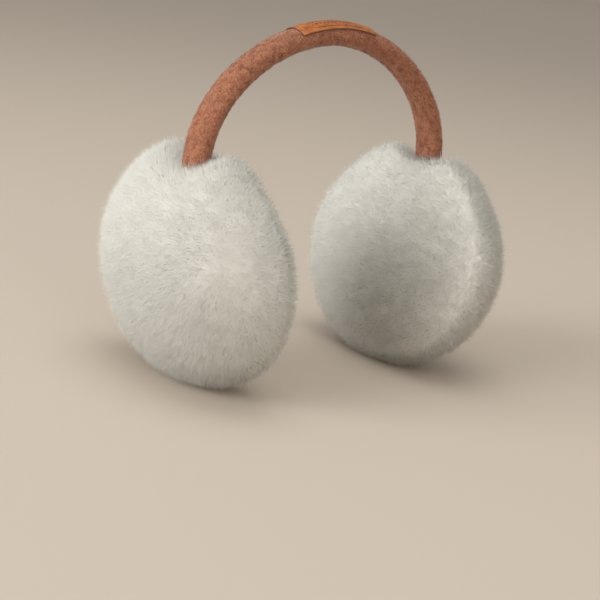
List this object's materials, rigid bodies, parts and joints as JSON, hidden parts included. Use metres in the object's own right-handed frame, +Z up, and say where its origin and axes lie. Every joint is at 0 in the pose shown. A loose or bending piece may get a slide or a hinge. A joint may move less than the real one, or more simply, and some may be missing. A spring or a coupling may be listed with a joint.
{
  "type": "fur earmuffs",
  "caption": "Fur earmuffs: deep-pile ear pads with domed outer faces on a padded, suede-covered arch headband, with a small leather patch wrapped over the crown.",
  "frame": {"origin": "on the ground, midway between the two pads that the earmuffs stand on", "axes": "+X from the wearer's right ear to the left ear, +Y towards the back of the head, +Z up through the crown of the headband"},
  "size_m": [0.2492, 0.1562, 0.2152],
  "materials": {
    "suede": "rust-brown suede nap, matte",
    "leather": "orange-tan grained leather, satin",
    "fur": "dense cream pile fur, soft and matte"
  },
  "bodies": {
    "root": {"headband": "suede", "label_patch": "leather", "fur_pad_left": "fur", "fur_pad_right": "fur"}
  },
  "joints": []
}
